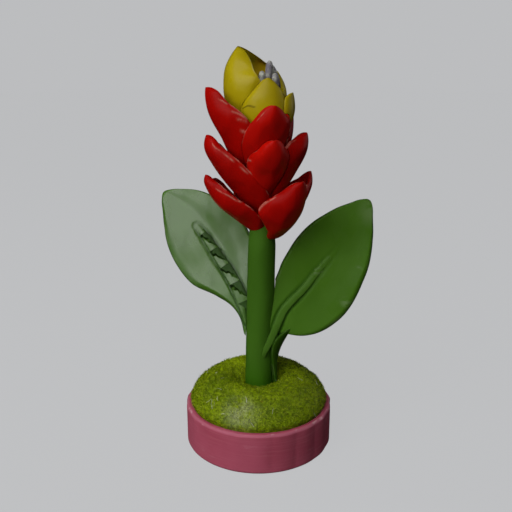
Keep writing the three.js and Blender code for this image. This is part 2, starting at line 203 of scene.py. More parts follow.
# Sheath of the right leaf
SHEATH = dict(
    root=-8, tip=-22,
    keel=[(12, 28), (11.9, 44), (12.1, 54), (14.5, 63), (21.2, 76.5)],
    half_width=[2, 2.4, 5.5, 11, 11.5],
    wrap=[20, 22, 34, 52, 46],
    lopsided=-0.2, thickness=3, edge=0.6, rounds=(0.05, 0.2))

# Blades: greatest share of a wall in its own bend, and how late the skew fades towards the tip
WALL_SHARE = 0.85
SKEW_FADE = 4

CURVE_STEPS = 200
TANGENT_STEP = 1e-4
SMALL = 1e-12
FAR = 1e9

# Slow unevenness of hand-made faces: a few waves of mixed pitch. Pieces differ by their seeds
WAVE_COUNT = 6
PITCH_SPREAD = 0.7, 1.5
HEAD_WAVER = 0.16, 12
LEAF_SEED = 40
RIB_SEED = 50
STEM_WAVER = 0.12, 14, 60
LEAF_WAVER = 0.2, 16
RIB_WAVER = 0.18, 5

# Bract tips are drawn in from this place along them, by this share at the very end
TIP_START = 0.88
TIP_PULL = 0.32

# Rolled rims of the leaves: share of the half width on the thin side, and the drop back
RIM_THIN = 0.07
RIM_DROP = 2
RIM_FADE = 0, 0.25

# Grooves beside the midribs, side veins, and the painted shade on the sheath
GROOVE_DEPTH = 0.6
CREASE = dict(away=0.5, width=0.7)
CREASE_WAVER = 0.35, 5
RIB_SIDE = 0.8, 0.15
RIB_SINK = 0.5
VEINS = dict(count=9, sweep=1.6, sharp=0.35)
SHEATH_PAINTED_SHADE = 0.5

# Torn flaps along the left midrib
FLAPS = 5.5
FLAP_START = 0.9, 0.3
FLAP_SLANT = 2
FLAP_WAVER = 0.4, 4
FLAP_HEIGHT = 1.2

# Marks that every part of a leaf carries
LEAF_MARKS = "crease", "vein", "rim", "rib", "flap", "lift"

# Pale lines on the outer faces, partly abrasion and partly painted highlight along margins and creases,
# as shares along and across each piece; dark cracks on petals
WORN_AND_HIGHLIT_LINES = {
    "bract_3_left": [[(0.86, -0.76), (0.84, -0.85), (0.8, -0.91)], [(0.6, -0.81), (0.55, -0.92)],
                     [(0.68, -0.85), (0.62, -0.94), (0.57, -0.97)], [(0.51, -0.71), (0.46, -0.83)]],
    "bract_3_front": [[(0.78, 0.97), (0.7, 0.96), (0.54, 0.97)], [(0.85, 0.59), (0.93, 0.45)]],
    "bract_2_front": [[(0.62, 0.97), (0.5, 0.96), (0.28, 0.95)], [(0.59, 0.97), (0.65, 0.79)]],
    "bract_2_left": [[(0.9, -0.65), (0.8, -0.83), (0.7, -0.87)], [(0.63, -0.89), (0.57, -0.91)]],
    "bract_1_left": [[(0.82, -0.71), (0.7, -0.89), (0.55, -0.96)]],
    "bract_1_front": [[(0.45, 0.96), (0.6, 0.95), (0.75, 0.92)]],
    "bract_2_right": [[(0.6, 0.95), (0.75, 0.93), (0.88, 0.85)]],
    "bract_1_right": [[(0.82, -0.81), (0.9, -0.73), (0.95, -0.52)]],
    "petal_front": [[(0.61, 0.9), (0.66, 0.72), (0.64, 0.5)]],
}
LINE_SCALE = 50, 18
LINE_WIDTH = 0.45

# Bracts painted a lighter red: painted light on bracts that lie in shade under those above
PAINTED_LIGHT_BRACTS = {"bract_2_front": 0.8, "bract_3_front": 0.45}

# Fineness of the meshes: corners around and rows along for the grids
BRACT_GRID = 140, 100
CUT_GRID = 48, 40
LEAF_GRID = 160, 180
RIB_GRID = 64, 220
SHEATH_GRID = 64, 72
ROD_GRID = 28, 64
STEM_SIDES = 96
STEM_ROWS = 120
DISH_SIDES = 256
WALL_ROWS = 12
BEVEL_STEPS = 12
ROUND_STEPS = 8
MOSS_SIDES = 260
MOSS_ROWS = 110
MOSS_ROUND_STEPS = 5
MOSS_PLACES = 400

# Paler spots, each as centre and reach: a painted highlight of glare on the moss's front, painted light
# on its back, and a rubbed spot by the right leaf's tip
PAINTED_GLARE_SPOT = (-11, -37, 36), 15
PAINTED_LIGHT_SPOT = (-8, 28, 42), 34
RUBBED = (69, 17, 142), 13
NICKS = [((36.8, 1.5, 110), 3.4), ((34.6, 1.3, 110), 3), ((60, 2.2, 110.5), 3.6), ((52, -4, 92), 4.5)]

# Ranges of a noise's values, and settings, that materials share
MOTTLE = 0.35, 0.7
SPECKS = 0.64, 0.8, 0, 0.2
WAVER = 0.3, 0.7
FACET_SMOOTH = 0.35
PLAIN_SHINE = 0.5

# Heights, in metres, between which the stem's colour deepens
DEEP_FOOT = 0.06, 0.035

# Camera, and lights in metres and watts, each aimed at the middle of the ornament
LENS = 50
SENSOR = 36
CAMERA = dict(target=(-1.6, 0, 120), distance=423.6, elevation=17.3)
LIGHT_AIM = (0, 0, 0.12)
KEY = dict(towards=(-0.27, -0.61, 0.75), size=1.1, size_y=0.9, energy=5.2)
FILL_LEFT = dict(towards=(-0.68, -0.6, 0.4), size=0.8, size_y=0.8, energy=3.5)
RIM_RIGHT = dict(towards=(0.85, 0.35, 0.25), size=0.8, size_y=0.8, energy=0.8)
AMBIENT = 0.06

# Stage: a floor just under the dish, and a dome around it
STAGE_RADIUS = 3000
FLOOR = [(0, -0.6), (STAGE_RADIUS, -0.6), (STAGE_RADIUS, -0.2), (0, -0.2)]
DOME_SUNK = 20
DOME_ROWS = 15
STAGE_SIDES = 64
STAGE_LOOK = {
    "Base Color": (0.05, 0.05, 0.05, 1), "Roughness": 1, "Specular IOR Level": 0,
    "Emission Color": (0.503, 0.509, 0.52, 1), "Emission Strength": 0.99}


# Curves

def spline(values):
    """A smooth curve through evenly spaced values, as a function of 0 to 1."""
    v = np.asarray(values, float)
    last = len(v) - 1

    def at(t):
        place = last * np.asarray(t, float)
        i = np.clip(np.floor(place).astype(int), 0, last)
        w = place - i
        p0, p1 = v[np.maximum(i - 1, 0)], v[i]
        p2, p3 = v[np.minimum(i + 1, last)], v[np.minimum(i + 2, last)]
        a, b = (p2 - p0) / 2, (p3 - p1) / 2
        return ((2 * p1 - 2 * p2 + a + b) * w ** 3 + (3 * p2 - 3 * p1 - 2 * a - b) * w ** 2
                + a * w + p1)
    return at


class Curve:
    """A smooth curve through points, measured along its own length."""

    def __init__(self, points):
        p = np.asarray(points, float)
        self.points = np.vstack([2 * p[0] - p[1], p, 2 * p[-1] - p[-2]])
        self.steps = np.linspace(0, 1, CURVE_STEPS + 1)
        chords = np.linalg.norm(np.diff(self.point(self.steps), axis=0), axis=1)
        self.reached = np.concatenate([[0], np.cumsum(chords)])

    def point(self, t):
        spans = len(self.points) - 3
        place = spans * np.asarray(t, float)
        i = np.clip(np.floor(place).astype(int), 0, spans - 1)
        w = (place - i)[..., None]
        p0, p1, p2, p3 = (self.points[i + k] for k in range(4))

        def step(a, b):
            return np.sum((a - b) ** 2, -1, keepdims=True) ** 0.25
        d0, d1, d2 = step(p0, p1), step(p1, p2), step(p2, p3)
        t1 = ((p1 - p0) / d0 - (p2 - p0) / (d0 + d1) + (p2 - p1) / d1) * d1
        t2 = ((p2 - p1) / d1 - (p3 - p1) / (d1 + d2) + (p3 - p2) / d2) * d1
        return (p1 + t1 * w + (3 * p2 - 3 * p1 - 2 * t1 - t2) * w ** 2
                + (2 * p1 - 2 * p2 + t1 + t2) * w ** 3)

    def time(self, along):
        return np.interp(np.asarray(along) * self.reached[-1], self.reached, self.steps)

    def at(self, along):
        return self.point(self.time(along))

    def tangent(self, along):
        t = self.time(along)
        ahead = self.point(np.clip(t + TANGENT_STEP, 0, 1))
        return unit(ahead - self.point(np.clip(t - TANGENT_STEP, 0, 1)))


def unit(vectors):
    return vectors / np.linalg.norm(vectors, axis=-1, keepdims=True)


# Blades: troughs that follow a spine, as in the solids

def round_end(distance, length):
    share = np.minimum(distance / length, 1)
    return np.sqrt(np.maximum(0, 1 - (1 - share) ** 2))


def keel_spine(sizes):
    """Spine that rises outwards along a keel, with its hollow side to the axis."""
    keel = np.asarray(sizes["keel"], float)
    root, tip = sizes["root"], sizes["tip"]

    def azimuth(along):
        return np.radians(root + (tip - root) * np.sqrt(along))
    turn = azimuth(np.linspace(0, 1, len(keel)))
    radius, height = keel.T
    spine = Curve(np.stack([radius * np.cos(turn), radius * np.sin(turn), height], -1))

    def facing(along):
        a = azimuth(along)
        return np.cross(spine.tangent(along), np.stack([-np.sin(a), np.cos(a), 0 * a], -1))
    return dict(spine=spine, facing=facing)


def sized(sizes):
    """The sizes with half_width, wrap and thickness as functions of the place along."""
    thickness = sizes["thickness"]
    flat = [thickness] * 2 if np.isscalar(thickness) else thickness
    half = np.array(sizes["half_width"], float) * sizes.get("scale", 1)
    return {**sizes, "half_width": spline(half), "wrap": spline(sizes["wrap"]),
            "thickness": spline(flat)}


def blade_points(shape, along, turn):
    origin = shape["spine"].at(along)
    tangent = shape["spine"].tangent(along)
    facing = shape["facing"](along)
    facing = unit(facing - tangent * np.sum(facing * tangent, -1, keepdims=True))
    side = np.cross(tangent, facing)
    facing = unit(facing * np.array([1, 1, 1 - shape.get("level", 0)]))
    root, tip = shape["rounds"]
    ends = round_end(along, root) * round_end(1 - along, tip)
    wrap = np.radians(shape["wrap"](along))
    bend = shape["half_width"](along) * ends / wrap
    full = np.minimum(shape["thickness"](along) * ends, WALL_SHARE * bend)
    depth = inwards(turn, shape["edge"]) * full
    angle = wrap * np.sin(turn) * (1 + shape.get("lopsided", 0) * np.sin(turn))
    lean = 1 - along ** SKEW_FADE
    return (origin
            + side * ((bend - depth) * np.sin(angle))[..., None]
            + facing * (bend - (bend - depth) * np.cos(angle))[..., None]
            + tangent * (shape.get("skew", 0) * lean * bend * np.sin(angle))[..., None])


def inwards(turn, edge):
    """0 on a blade's outer face, 1 on its inner face."""
    through = np.sign(np.cos(turn)) * np.abs(np.cos(turn)) ** edge
    return (1 - through) / 2


class Form:
    """A closed surface: corners, faces, and marks that each corner carries."""

    def __init__(self, corners, tris, quads, marks=None):
        self.corners = np.asarray(corners, float)
        self.tris = np.asarray(tris, int).reshape(-1, 3)
        self.quads = np.asarray(quads, int).reshape(-1, 4)
        self.marks = marks or {}

    def with_corners(self, corners):
        return Form(corners, self.tris, self.quads, self.marks)

    def triangles(self):
        return np.vstack([self.tris, self.quads[:, [0, 1, 2]], self.quads[:, [0, 2, 3]]])

    def outward(self):
        """The form with its faces turned so that they look outwards."""
        a, b, c = self.corners[self.triangles().T]
        if np.sum(a * np.cross(b, c)) > 0:
            return self
        return Form(self.corners, self.tris[:, ::-1], self.quads[:, ::-1], self.marks)

    def normals(self):
        triangles = self.triangles()
        a, b, c = self.corners[triangles.T]
        across = np.cross(b - a, c - a)
        out = np.stack([np.bincount(triangles.ravel(), np.repeat(across[:, k], 3), len(self.corners))
                        for k in range(3)], -1)
        return out / np.maximum(np.linalg.norm(out, axis=-1, keepdims=True), SMALL)

    def moved(self, amount):
        """The same form with each corner moved out along its normal."""
        return self.with_corners(self.corners + self.normals() * np.reshape(amount, (-1, 1)))


def ringed(rings, ends, marks=None):
    """Closed form of rows of corners between a first and a last corner."""
    rows, around = rings.shape[:2]
    j = np.arange(around)
    k = (j + 1) % around
    end = rows * around + 1
    last = end - around
    tris = np.concatenate([np.stack([0 * j, 1 + k, 1 + j], -1),
                           np.stack([0 * j + end, last + j, last + k], -1)])
    a = 1 + around * np.arange(rows - 1)[:, None]
    quads = np.stack([a + j, a + k, a + around + k, a + around + j], -1)
    corners = np.vstack([ends[:1], rings.reshape(-1, 3), ends[1:]])
    return Form(corners, tris, quads, marks).outward()


def blade(shape, around, along):
    rows = (1 - np.cos(np.pi * np.arange(1, along) / along)) / 2
    turns = 2 * np.pi * np.arange(around) / around
    a, t = np.meshgrid(rows, turns, indexing="ij")
    marks = {
        "along": np.concatenate([[0], a.ravel(), [1]]),
        "across": np.concatenate([[0], np.sin(t).ravel(), [0]]),
        "inner": np.concatenate([[0], inwards(t, shape["edge"]).ravel(), [0]]),
    }
    return ringed(blade_points(shape, a, t), shape["spine"].at([0, 1]), marks)


def flat_blade(sizes, spine, facing, grid):
    """Blade whose hollow side keeps one facing all along."""
    way = np.array(facing, float)
    shape = {
        **sized(sizes),
        "spine": Curve(spine),
        "facing": lambda along: way + 0 * np.asarray(along)[..., None],
    }
    return blade(shape, *grid)


def turned(profile, sides):
    """Body turned about +Z from radii and heights between two ends on the axis."""
    profile = np.asarray(profile, float)
    turns = 2 * np.pi * np.arange(sides) / sides
    r, t = np.meshgrid(profile[1:-1, 0], turns, indexing="ij")
    z = np.repeat(profile[1:-1, 1:], sides, axis=1)
    ends = [[0, 0, profile[0, 1]], [0, 0, profile[-1, 1]]]
    return ringed(np.stack([r * np.cos(t), r * np.sin(t), z], -1), ends)


# Meshes and cuts

def mesh_of(name, form):
    mesh = bpy.data.meshes.new(name)
    loops = np.concatenate([form.tris.ravel(), form.quads.ravel()]).astype(np.int32)
    sizes = np.repeat([3, 4], [len(form.tris), len(form.quads)])
    mesh.vertices.add(len(form.corners))
    mesh.loops.add(len(loops))
    mesh.polygons.add(len(sizes))
    mesh.vertices.foreach_set("co", (form.corners * MM).astype(np.float32).ravel())
    mesh.loops.foreach_set("vertex_index", loops)
    mesh.polygons.foreach_set("loop_start", (np.cumsum(sizes) - sizes).astype(np.int32))
    mesh.update(calc_edges=True)
    mesh.validate()
    return mesh


def linked(name, data):
    """A new object in the scene with the given mesh, camera or light."""
    thing = bpy.data.objects.new(name, data)
    bpy.context.scene.collection.objects.link(thing)
    return thing


def made(name, form):
    return linked(name, mesh_of(name, form))


def combined(name, form, tools):
    """Piece of a form joined or cut with the tools, given as (operation, form)."""
    piece = made(name, form)
    helpers = []
    for operation, tool in tools:
        helpers.append(made("tool", tool))
        change = piece.modifiers.new("change", "BOOLEAN")
        change.operation = operation
        change.solver = "MANIFOLD"
        change.object = helpers[-1]
    bpy.context.view_layer.update()
    graph = bpy.context.evaluated_depsgraph_get()
    mesh = bpy.data.meshes.new_from_object(piece.evaluated_get(graph))
    spare = [piece.data, *helpers, *(helper.data for helper in helpers)]
    piece.modifiers.clear()
    piece.data = mesh
    bpy.data.batch_remove(spare)
    mesh.name = name
    keep_largest(mesh)
    return piece


def keep_largest(mesh):
    """Deletes every loose body but the one with the most corners."""
    edges = np.zeros(len(mesh.edges) * 2, int)
    mesh.edges.foreach_get("vertices", edges)
    ends = edges.reshape(-1, 2).T
    label = np.arange(len(mesh.vertices))
    before = None
    while not np.array_equal(label, before):
        before = label.copy()
        low = np.minimum(*before[ends])
        for end in ends:
            np.minimum.at(label, end, low)
        label = label[label]
    bodies, counts = np.unique(label, return_counts=True)
    if len(bodies) == 1:
        return
    work = bmesh.new()
    work.from_mesh(mesh)
    work.verts.ensure_lookup_table()
    lost = [work.verts[i] for i in np.nonzero(label != bodies[counts.argmax()])[0]]
    bmesh.ops.delete(work, geom=lost, context="VERTS")
    work.to_mesh(mesh)
    work.free()


def carry(piece, marks, order=slice(None)):
    """Gives each corner of a piece its marks, taken in the given order."""
    for name, values in marks.items():
        layer = piece.data.attributes.new(name, "FLOAT", "POINT")
        layer.data.foreach_set("value", np.asarray(values, np.float32)[order])


def mark(piece, form):
    """Gives each corner the marks of the nearest corner of the form it came from."""
    tree = KDTree(len(form.corners))
    for i, corner in enumerate(form.corners * MM):
        tree.insert(corner, i)
    tree.balance()
    carry(piece, form.marks, [tree.find(v.co)[1] for v in piece.data.vertices])


def dressed(piece, node, slot, material, sharp=40):
    piece.data.materials.clear()
    piece.data.materials.append(material)
    piece.data.shade_smooth()
    piece.data.set_sharp_from_angle(angle=math.radians(sharp))
    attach(piece, "root")
    if node:
        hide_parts(node)


def touches(a, b):
    """True where the boxes of two forms meet."""
    return bool(np.all(a.corners.min(0) <= b.corners.max(0))
                and np.all(b.corners.min(0) <= a.corners.max(0)))


# Slow unevenness of a hand-made surface, in millimetres

def uneven(points, pitch, seed):
    """Slow waves of mixed directions, between -1 and 1."""
    rng = np.random.default_rng(seed)
    total = np.zeros(len(points))
    for _ in range(WAVE_COUNT):
        direction = unit(rng.normal(size=3)) * 2 * np.pi / (pitch * rng.uniform(*PITCH_SPREAD))
        total += np.sin(points @ direction + rng.uniform(0, 2 * np.pi))
    return total / WAVE_COUNT


def waver(form, depth, pitch, seed):
    return depth * uneven(form.corners, pitch, seed)


def ramped(values, start, over):
    """0 up to the start, rising evenly to 1 over the second size."""
    return np.clip((values - start) / over, 0, 1)


# Materials

class Nodes:
    """Short forms for building one node material."""

    def __init__(self, name):
        self.material = bpy.data.materials.new(name)
        self.material.use_nodes = True
        self.tree = self.material.node_tree
        self.coords = self.node("TexCoord", "Object")

    def fill(self, node, inputs):
        """Sets a node's inputs to values, or links them to the outputs of other nodes."""
        for name, value in inputs.items():
            if isinstance(value, bpy.types.NodeSocket):
                self.tree.links.new(value, node.inputs[name])
            else:
                node.inputs[name].default_value = value

    def node(self, kind, output, inputs={}, **settings):
        """One output of a new node."""
        node = self.tree.nodes.new("ShaderNode" + kind)
        for name, value in settings.items():
            setattr(node, name, value)
        self.fill(node, inputs)
        return node.outputs[output]

    def mark(self, name):
        return self.node("Attribute", "Fac", attribute_name=name)

    def near(self, centre, reach):
        """1 at a place given in millimetres, 0 beyond its reach."""
        place = [value * MM for value in centre]
        away = self.node("VectorMath", "Value", {0: self.coords, 1: place}, operation="DISTANCE")
        return self.ramp(away, reach * MM, 0)

    def stretched(self, scale):
        return self.node("Mapping", "Vector", {"Vector": self.coords, "Scale": scale})

    def noise(self, scale, detail=3, roughness=0.5, stretch=(1, 1, 1)):
        return self.node("TexNoise", "Fac", {"Vector": self.stretched(stretch), "Scale": scale,
                                             "Detail": detail, "Roughness": roughness})

    def facets(self, scale, stretch):
        """Height of flat dents, as from pressing clay with a finger."""
        inputs = {"Vector": self.stretched(stretch), "Scale": scale, "Smoothness": FACET_SMOOTH}
        return self.node("TexVoronoi", "Distance", inputs, feature="SMOOTH_F1")

    def ramp(self, value, low, high, start=0.0, end=1.0):
        """A soft change from start to end, where the value goes from low to high."""
        inputs = {"Value": value, "From Min": low, "From Max": high, "To Min": start, "To Max": end}
        return self.node("MapRange", "Result", inputs, interpolation_type="SMOOTHSTEP")

    def math(self, operation, a, b):
        return self.node("Math", "Value", {0: a, 1: b}, operation=operation)

    def times(self, a, b):
        return self.math("MULTIPLY", a, b)

    def most(self, a, b):
        return self.math("MAXIMUM", a, b)

    def size(self, value):
        return self.math("ABSOLUTE", value, 0)

    def mix(self, share, a, b):
        a, b = ((*colour, 1) if isinstance(colour, tuple) else colour for colour in (a, b))
        return self.node("Mix", 2, {0: share, 6: a, 7: b}, data_type="RGBA", clamp_factor=True)

    def tinted(self, colour, *layers):
        """A colour, in linear red, green and blue, with tints over it in turn as (share, tint)."""
        for share, tint in layers:
            colour = self.mix(share, colour, tint)
        return colour

    def mottled(self, value, plain, deep):
        return self.mix(self.ramp(value, *MOTTLE), plain, deep)

    def finish(self, colour, roughness, shine, *bumps):
        """Shader with its normals bent by bumps in turn, each as (height, strength, millimetres)."""
        inputs = {}
        for height, strength, distance in bumps:
            inputs.update(Height=height, Strength=strength, Distance=distance * MM)
            inputs["Normal"] = self.node("Bump", "Normal", inputs)
        return self.shaded({"Base Color": colour, "Roughness": roughness,
                            "Specular IOR Level": shine, "Normal": inputs["Normal"]})

    def shaded(self, inputs):
        self.fill(self.tree.nodes["Principled BSDF"], inputs)
        return self.material


def bract_material():
    """Soft-gloss red with paler margins and lines, partly abrasion and partly painted highlight."""
    n = Nodes("bract_red")
    broad = n.noise(45, 2)
    fine = n.noise(700, 4, 0.6)
    wear_and_highlight = n.mark("wear_and_highlight")
    root = n.ramp(n.mark("along"), 0.5, 0.1)
    margin = n.ramp(n.size(n.mark("across")), 0.94, 0.99)
    # Paler margins and lines: partly abrasion, partly painted highlight along the edges
    worn_and_highlit = n.times(margin, n.ramp(n.noise(160, 3), 0.42, 0.62))
    lines = n.times(wear_and_highlight, n.ramp(n.noise(330, 3), 0.36, 0.55, 0.25, 1))
    creases = n.noise(220, 2, 0.5, stretch=(1, 1, 0.35))
    colour = n.tinted(
        n.mottled(broad, (0.46, 0.003, 0.0008), (0.39, 0.0025, 0.0008)),
        # Painted light on bracts that lie in shade
        (n.mark("painted_light"), (0.62, 0.006, 0.002)),
        (n.times(root, 0.3), (0.3, 0.002, 0.001)),
        (n.times(n.most(worn_and_highlit, lines), 0.85), (0.58, 0.2, 0.15)),
        (n.ramp(fine, *SPECKS), (0.5, 0.03, 0.02)))
    return n.finish(
        colour, n.ramp(broad, *WAVER, 0.3, 0.42), 0.095,
        (n.facets(95, (1, 1, 0.6)), 1, 2),
        (n.ramp(creases, *WAVER), 0.3, 0.25),
        (wear_and_highlight, 0.5, 0.3),
        (fine, 0.12, 0.08))


def petal_material():
    """Soft-gloss yellow, a little warmer on the hollow side."""
    n = Nodes("petal_yellow")
    broad = n.noise(55, 2)
    fine = n.noise(650, 4, 0.6)
    root = n.ramp(n.mark("along"), 0.55, 0.15)
    warm = n.mix(n.ramp(n.noise(90, 2), 0.4, 0.65), (0.56, 0.47, 0.012), (0.7, 0.47, 0.012))
    margin = n.ramp(n.size(n.mark("across")), 0.96, 0.995)
    patches = n.ramp(n.noise(170, 3), 0.45, 0.65)
    creases = n.noise(200, 2, 0.5, stretch=(1, 1, 0.4))
    colour = n.tinted(
        n.mottled(broad, (0.51, 0.405, 0.005), (0.43, 0.33, 0.003)),
        (n.times(root, 0.5), (0.4, 0.3, 0.003)),
        (n.ramp(n.mark("inner"), 0.6, 0.95), warm),
        (n.times(margin, n.times(patches, 0.5)), (0.7, 0.62, 0.3)),
        (n.ramp(fine, *SPECKS), (0.66, 0.55, 0.1)),
        (n.times(n.mark("wear_and_highlight"), 0.95), (0.05, 0.035, 0.001)))
    return n.finish(
        colour, n.ramp(broad, *WAVER, 0.26, 0.36), 0.22,
        (n.facets(85, (1, 1, 0.6)), 1, 1.8),
        (n.ramp(creases, *WAVER), 0.25, 0.2),
        (fine, 0.1, 0.08))


def leaf_material(name, shine):
    """Green with faint side veins, and painted shade on the rolled rim and in the creases and torn flaps
    along the midrib.
    """
    n = Nodes(name)
    fine = n.noise(500, 4, 0.6)
    across = n.mark("across")
    side = n.size(across)
    dark = n.most(n.mark("crease"), n.mark("flap"))
    patches = n.times(n.ramp(n.noise(120, 3), 0.45, 0.62), 0.35)
    rubbed = n.times(n.near(*RUBBED), n.ramp(n.noise(110, 3, 0.6), 0.42, 0.56))
    grazed = n.ramp(n.noise(300, 2, stretch=(0.5, 1, 1.6)), 0.42, 0.54)
    for nick in NICKS:
        rubbed = n.most(rubbed, n.times(n.near(*nick), grazed))
    colour = n.tinted(
        n.mottled(n.noise(40, 3), (0.076, 0.193, 0.014), (0.063, 0.167, 0.01)),
        # Painted shade in the creases and torn flaps along the midrib, and over the sheath
        (dark, (0.024, 0.085, 0.003)),
        (n.times(n.mark("rib"), 0.25), (0.08, 0.17, 0.03)),
        # Painted shade on the rolled rim
        (n.times(n.mark("rim"), 0.7), (0.05, 0.15, 0.006)),
        (n.times(n.ramp(side, 0.9, 0.97), patches), (0.2, 0.3, 0.1)),
        (n.ramp(side, 0.975, 0.995, 0, 0.85), (0.018, 0.06, 0.003)),
        (n.ramp(fine, *SPECKS), (0.11, 0.22, 0.05)),
        (n.times(rubbed, 0.6), (0.2, 0.3, 0.12)))
    foot = n.ramp(n.mark("along"), 0.36, 0.2)
    band = n.times(n.ramp(across, 0.18, 0.32), n.ramp(across, 0.62, 0.4))
    dull = n.most(n.most(n.mark("rim"), dark), n.most(foot, n.times(band, 0.6)))
    patchy = n.ramp(n.noise(36, 4, 0.6, stretch=(1, 1, 0.4)), 0.36, 0.64, 0.2, 0.48)
    return n.finish(
        colour, n.math("ADD", patchy, n.times(dull, 0.35)), shine,
        (n.noise(26, 3, 0.5, stretch=(1, 1, 0.5)), 0.5, 1.6),
        (n.mark("vein"), 0.08, 0.3),
        (n.mark("lift"), 1, 3.5),
        (n.noise(150, 2), 0.15, 0.2),
        (fine, 0.08, 0.08))


def stem_material():
    """Green, deeper towards its foot."""
    n = Nodes("stem_green")
    broad = n.noise(50, 2, stretch=(1, 1, 0.4))
    fine = n.noise(600, 4, 0.6, stretch=(1, 1, 0.25))
    height = n.node("SeparateXYZ", "Z", {"Vector": n.coords})
    colour = n.tinted(
        n.mottled(broad, (0.064, 0.173, 0.013), (0.052, 0.147, 0.009)),
        (n.ramp(height, *DEEP_FOOT, 0, 0.7), (0.04, 0.15, 0.002)),
        (n.ramp(fine, 0.6, 0.8, 0, 0.3), (0.09, 0.2, 0.03)))
    return n.finish(
        colour, n.ramp(broad, *WAVER, 0.45, 0.58), 0.1,
        (n.facets(75, (1, 1, 0.5)), 0.6, 1.4),
        (n.noise(140, 2, stretch=(1, 1, 0.5)), 0.25, 0.25),
        (fine, 0.15, 0.08))


def stamen_material():
    """Mottled grey, darker towards the root."""
    n = Nodes("stamen_grey")
    broad = n.noise(330, 3)
    colour = n.mix(n.ramp(broad, 0.35, 0.65), (0.55, 0.56, 0.47), (0.2, 0.18, 0.22))
    colour = n.mix(n.ramp(n.mark("along"), 0.85, 0.5), colour, (0.08, 0.05, 0.09))
    rough = n.ramp(broad, *WAVER, 0.5, 0.65)
    return n.finish(colour, rough, PLAIN_SHINE, (n.noise(900, 3), 0.3, 0.1))


def dish_material():
    """Dull pink clay, brushed round its wall, paler along the rim's bevel from abrasion and a painted
    highlight.
    """
    n = Nodes("dish_pink")
    broad = n.noise(30, 3)
    brushed = n.noise(60, 4, 0.6, stretch=(0.4, 0.4, 14))
    bevel = n.mark("bevel")
    chips = n.ramp(n.noise(130, 3, stretch=(1, 1, 2)), 0.6, 0.68, 0, 0.7)
    smears = n.ramp(n.noise(90, 4, 0.65, stretch=(0.6, 0.6, 2.5)), 0.62, 0.75, 0, 0.3)
    colour = n.tinted(
        n.mottled(broad, (0.58, 0.115, 0.18), (0.5, 0.085, 0.135)),
        (n.ramp(brushed, 0.45, 0.75, 0, 0.45), (0.64, 0.17, 0.23)),
        # Paler along the bevel: partly abrasion, partly a painted highlight on the rim's rounded top
        (n.ramp(bevel, 0, 1, 0, 0.5), (0.6, 0.2, 0.28)),
        (n.times(bevel, chips), (0.8, 0.46, 0.5)),
        (smears, (0.7, 0.3, 0.36)))
    return n.finish(
        colour, n.ramp(broad, *WAVER, 0.5, 0.65), 0.12,
        (brushed, 0.6, 0.25),
        (n.noise(110, 3), 0.3, 0.3),
        (n.noise(900, 3), 0.15, 0.06))


def moss_colour(n):
    """Yellow-green with dark and brown patches, a painted highlight of glare in front and painted light
    at the back.
    """
    # Painted highlight: a pale patch of glare on the cushion's front
    painted_glare = n.times(n.near(*PAINTED_GLARE_SPOT), n.ramp(n.noise(150, 4, 0.65), 0.3, 0.55))
    return n.tinted(
        n.mix(n.ramp(n.noise(70, 3), 0.36, 0.7), (0.31, 0.43, 0.001), (0.19, 0.29, 0.001)),
        (n.ramp(n.noise(480, 4, 0.7), 0.44, 0.62, 0, 0.64), (0.06, 0.095, 0.001)),
        # Painted light on the back of the cushion, which lies in shade behind the stem
        (n.times(n.near(*PAINTED_LIGHT_SPOT), 0.9), (0.5, 0.66, 0.002)),
        (n.times(n.ramp(n.noise(260, 2), 0.68, 0.78), 0.6), (0.3, 0.12, 0.01)),
        (n.times(painted_glare, 0.75), (0.48, 0.52, 0.24)))


def moss_material():
    """Felted ground under the strands."""
    n = Nodes("moss_ground")
    small = n.noise(500, 4, 0.7)
    rough = n.ramp(small, *WAVER, 0.4, 0.6)
    grain = n.noise(1600, 3, 0.7)
    return n.finish(moss_colour(n), rough, 0.25, (small, 0.7, 0.4), (grain, 0.4, 0.15))


def fibre_material():
    """The moss's colours, fresher or drier from strand to strand."""
    n = Nodes("moss_fibre")
    shade = n.mark("shade")
    colour = n.tinted(
        moss_colour(n),
        (n.ramp(shade, 0.6, 1, 0, 0.8), (0.5, 0.58, 0.03)),
        (n.ramp(shade, 0.4, 0, 0, 0.85), (0.06, 0.1, 0.003)))
    rough = n.ramp(shade, 0, 1, 0.35, 0.5)
    return n.finish(colour, rough, 0.2, (n.noise(2500, 2), 0.2, 0.05))


def stray_material():
    """Pale, dry single fibres."""
    n = Nodes("moss_stray")
    grain = n.noise(1500, 2)
    colour = n.mix(n.ramp(grain, 0.35, 0.65), (0.8, 0.82, 0.62), (0.55, 0.6, 0.35))
    return n.finish(colour, n.ramp(grain, *WAVER, 0.4, 0.55), PLAIN_SHINE, (grain, 0.2, 0.05))


# Pieces

def stem_form():
    radii, heights = np.array(STEM["profile"], float).T
    rows = np.linspace(heights[0], heights[-1], STEM_ROWS)
    profile = [(0, rows[0]), *zip(np.interp(rows, heights, radii), rows), (0, rows[-1])]
    form = turned(profile, STEM_SIDES)
    form.corners[:, 0] += STEM["foot_x"] + STEM["lean"] * (form.corners[:, 2] - rows[0])
    return form


def arc(centre_radius, centre_height, radius, start, end, steps):
    turns = np.radians(np.linspace(start, end, steps + 1))
    return [(centre_radius + radius * math.cos(a), centre_height + radius * math.sin(a)) for a in turns]


def dish_profile():
    """Radii and heights round the dish's section, from under its floor to the top of its floor."""
    d = DISH
    height, foot_round, bevel = d["height"], d["foot_round"], d["bevel"]
    foot = d["radius"] - foot_round
    inner, inner_round = d["rim_inner"], d["inner_round"]
    inner_foot = d["floor"] + inner_round
    wall = np.linspace(foot_round, height - bevel, WALL_ROWS + 2)[1:-1]
    return [
        (0, 0),
        (foot - FOOT_INSET, 0),
        *arc(foot, foot_round, foot_round, -90, 0, ROUND_STEPS),
        *((d["radius"], z) for z in wall),
        *arc(d["radius"] - bevel, height - bevel, bevel, 0, 90, BEVEL_STEPS),
        *((inner + out, height - down) for out, down in RIM_EDGE),
        (inner, inner_foot + 1),
        *arc(inner - inner_round, inner_foot, inner_round, 0, -90, ROUND_STEPS),
        (0, d["floor"]),
    ]


